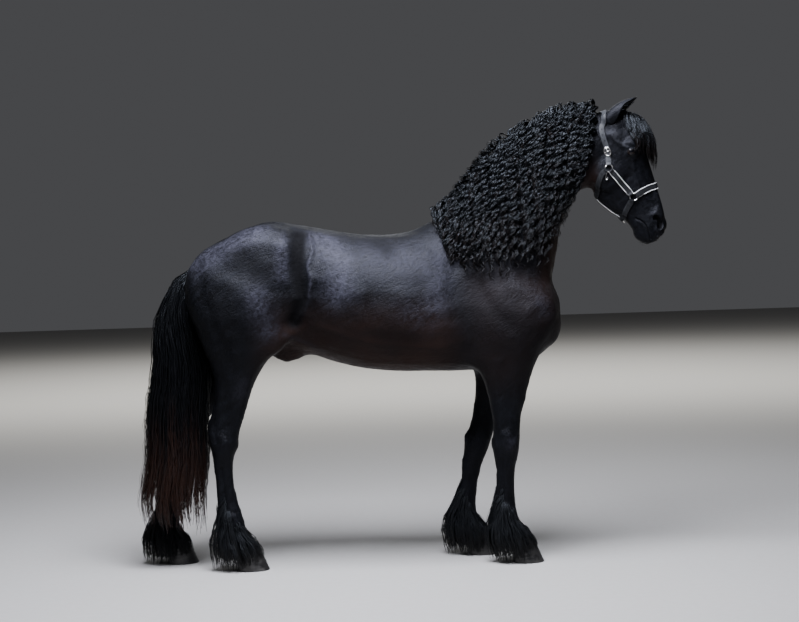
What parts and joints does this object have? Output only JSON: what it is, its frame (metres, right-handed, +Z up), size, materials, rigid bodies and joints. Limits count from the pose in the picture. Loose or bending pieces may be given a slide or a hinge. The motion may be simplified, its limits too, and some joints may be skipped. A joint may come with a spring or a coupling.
{
  "type": "friesian horse figure",
  "caption": "Life-size still figure of a Friesian stallion standing square on four feet, with wavy mane, long tail, leg feather and a head collar.",
  "frame": {"origin": "centre of the footprint of the whole figure, on the floor under the hooves", "axes": "+X the way the horse faces, +Y its left side, +Z up"},
  "size_m": [2.5208, 0.6088, 2.1202],
  "materials": {
    "coat": "short glossy black coat",
    "hair": "long black hair, reddish brown at the tips",
    "horn": "dark hoof horn with pale dust",
    "eye": "wet dark brown eye",
    "webbing": "black padded strap with white edge piping",
    "nickel": "polished nickel"
  },
  "bodies": {
    "root": {"head": "coat", "neck": "coat", "chest": "coat", "barrel": "coat", "hindquarters": "coat", "ear_left": "coat", "ear_right": "coat", "eye_left": "eye", "eye_right": "eye", "tail": "hair", "fore_left_forearm": "coat", "fore_left_cannon": "coat", "fore_left_pastern": "coat", "fore_left_hoof": "horn", "fore_right_forearm": "coat", "fore_right_cannon": "coat", "fore_right_pastern": "coat", "fore_right_hoof": "horn", "hind_left_gaskin": "coat", "hind_left_cannon": "coat", "hind_left_pastern": "coat", "hind_left_hoof": "horn", "hind_right_gaskin": "coat", "hind_right_cannon": "coat", "hind_right_pastern": "coat", "hind_right_hoof": "horn", "halter_crown": "webbing", "halter_noseband": "webbing", "halter_throat_strap": "webbing", "halter_jaw_strap": "webbing", "halter_cheek_left": "webbing", "halter_cheek_right": "webbing", "halter_chin_strap_left": "webbing", "halter_chin_strap_right": "webbing", "halter_throat_ring_left": "nickel", "halter_throat_ring_right": "nickel", "halter_nose_ring_left": "nickel", "halter_nose_ring_right": "nickel", "halter_chin_ring": "nickel", "halter_buckle_left": "nickel", "halter_buckle_right": "nickel"}
  },
  "joints": []
}
